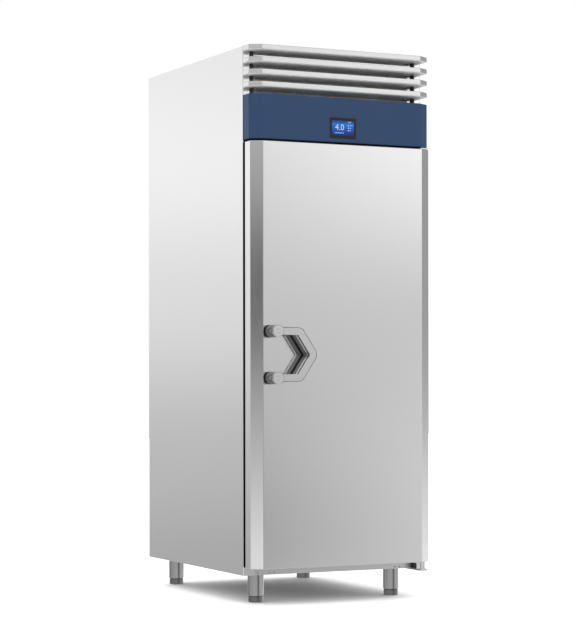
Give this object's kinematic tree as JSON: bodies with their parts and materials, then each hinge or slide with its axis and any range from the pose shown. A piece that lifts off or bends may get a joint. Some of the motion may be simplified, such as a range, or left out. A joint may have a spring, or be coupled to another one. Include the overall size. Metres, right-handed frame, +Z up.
{
  "type": "upright refrigerator",
  "caption": "Tall stainless steel commercial refrigerator with one hinged door, hexagonal pull handle, blue control fascia, louvred top and screw feet.",
  "frame": {"origin": "on the floor, at the centre of the overall footprint, handle included", "axes": "+Z up, +Y from the door to the back, +X to the viewer's right, towards the hinge side"},
  "size_m": [0.79, 1.1326, 2.168],
  "materials": {
    "stainless": "satin",
    "leg_steel": "satin",
    "galvanised": "satin",
    "foam": "matte",
    "black_plastic": "satin",
    "grey_plastic": "satin",
    "seal_rubber": "matte",
    "aluminium_fins": "satin",
    "motor_housing": "satin",
    "copper": "polished",
    "blue_paint": "satin",
    "display_glass": "gloss",
    "lamp_cover": "gloss"
  },
  "bodies": {
    "cabinet": {"left_side_panel": "stainless", "right_side_panel": "stainless", "base_panel": "stainless", "back_panel": "galvanised", "insulation": "foam", "compartment_deck": "galvanised", "chamber_floor": "stainless", "chamber_ceiling": "stainless", "chamber_left_wall": "stainless", "chamber_right_wall": "stainless", "chamber_back_wall": "stainless", "front_frame": "black_plastic", "roof_panel": "stainless", "rear_grille": "galvanised", "air_filter": "aluminium_fins", "condenser_coil": "aluminium_fins", "condenser_shroud": "galvanised", "condenser_fan_motor": "motor_housing", "compressor": "motor_housing", "liquid_receiver": "motor_housing", "filter_drier": "motor_housing", "refrigerant_pipes": "copper", "electrical_box": "grey_plastic", "cable_gland": "black_plastic", "drain_pipe": "stainless", "chamber_light": "lamp_cover", "rack_uprights": "stainless", "tray_runners": "stainless", "evaporator_cover": "stainless", "evaporator_coil": "aluminium_fins", "evaporator_fan_motor": "motor_housing", "fascia_panel": "blue_paint", "display_bezel": "black_plastic", "display_screen": "display_glass", "louvre_posts": "black_plastic", "lower_hinge": "stainless", "upper_hinge": "stainless", "hinge_stop_post": "black_plastic", "leg_tubes": "leg_steel", "louvre_1": "stainless", "louvre_2": "stainless", "louvre_3": "stainless", "louvre_4": "stainless"},
    "door": {"door_outer_skin": "stainless", "door_core": "foam", "door_inner_pan": "stainless", "hinge_bushes": "grey_plastic", "door_gasket": "seal_rubber", "handle_core": "grey_plastic", "handle_band": "stainless", "handle_neck": "black_plastic", "handle_front_plate": "stainless", "handle_caps": "stainless"},
    "evaporator_fan": {"evaporator_fan": "black_plastic"},
    "condenser_fan": {"condenser_fan": "black_plastic"},
    "front_left_foot": {"front_left_foot": "leg_steel"},
    "front_right_foot": {"front_right_foot": "leg_steel"},
    "rear_left_foot": {"rear_left_foot": "leg_steel"},
    "rear_right_foot": {"rear_right_foot": "leg_steel"}
  },
  "joints": [
    {"name": "door_hinge", "type": "hinge", "parent": "cabinet", "child": "door", "pos_m": [0.372, -0.45475, 0.144], "axis": [0, 0, 1], "range_deg": [0, 105], "stiffness_Nm_per_rad": 2, "springref_deg": -57.3},
    {"name": "evaporator_fan_spin", "type": "hinge", "parent": "cabinet", "child": "evaporator_fan", "pos_m": [0, -0.07775, 1.5865], "axis": [0, 0, 1], "continuous": true},
    {"name": "condenser_fan_spin", "type": "hinge", "parent": "cabinet", "child": "condenser_fan", "pos_m": [0, -0.22275, 1.945], "axis": [0, 1, 0], "continuous": true},
    {"name": "front_left_foot_screw", "type": "slide", "parent": "cabinet", "child": "front_left_foot", "axis": [0, 0, -1], "range_m": [0, 0.035]},
    {"name": "front_right_foot_screw", "type": "slide", "parent": "cabinet", "child": "front_right_foot", "axis": [0, 0, -1], "range_m": [0, 0.035]},
    {"name": "rear_left_foot_screw", "type": "slide", "parent": "cabinet", "child": "rear_left_foot", "axis": [0, 0, -1], "range_m": [0, 0.035]},
    {"name": "rear_right_foot_screw", "type": "slide", "parent": "cabinet", "child": "rear_right_foot", "axis": [0, 0, -1], "range_m": [0, 0.035]}
  ]
}
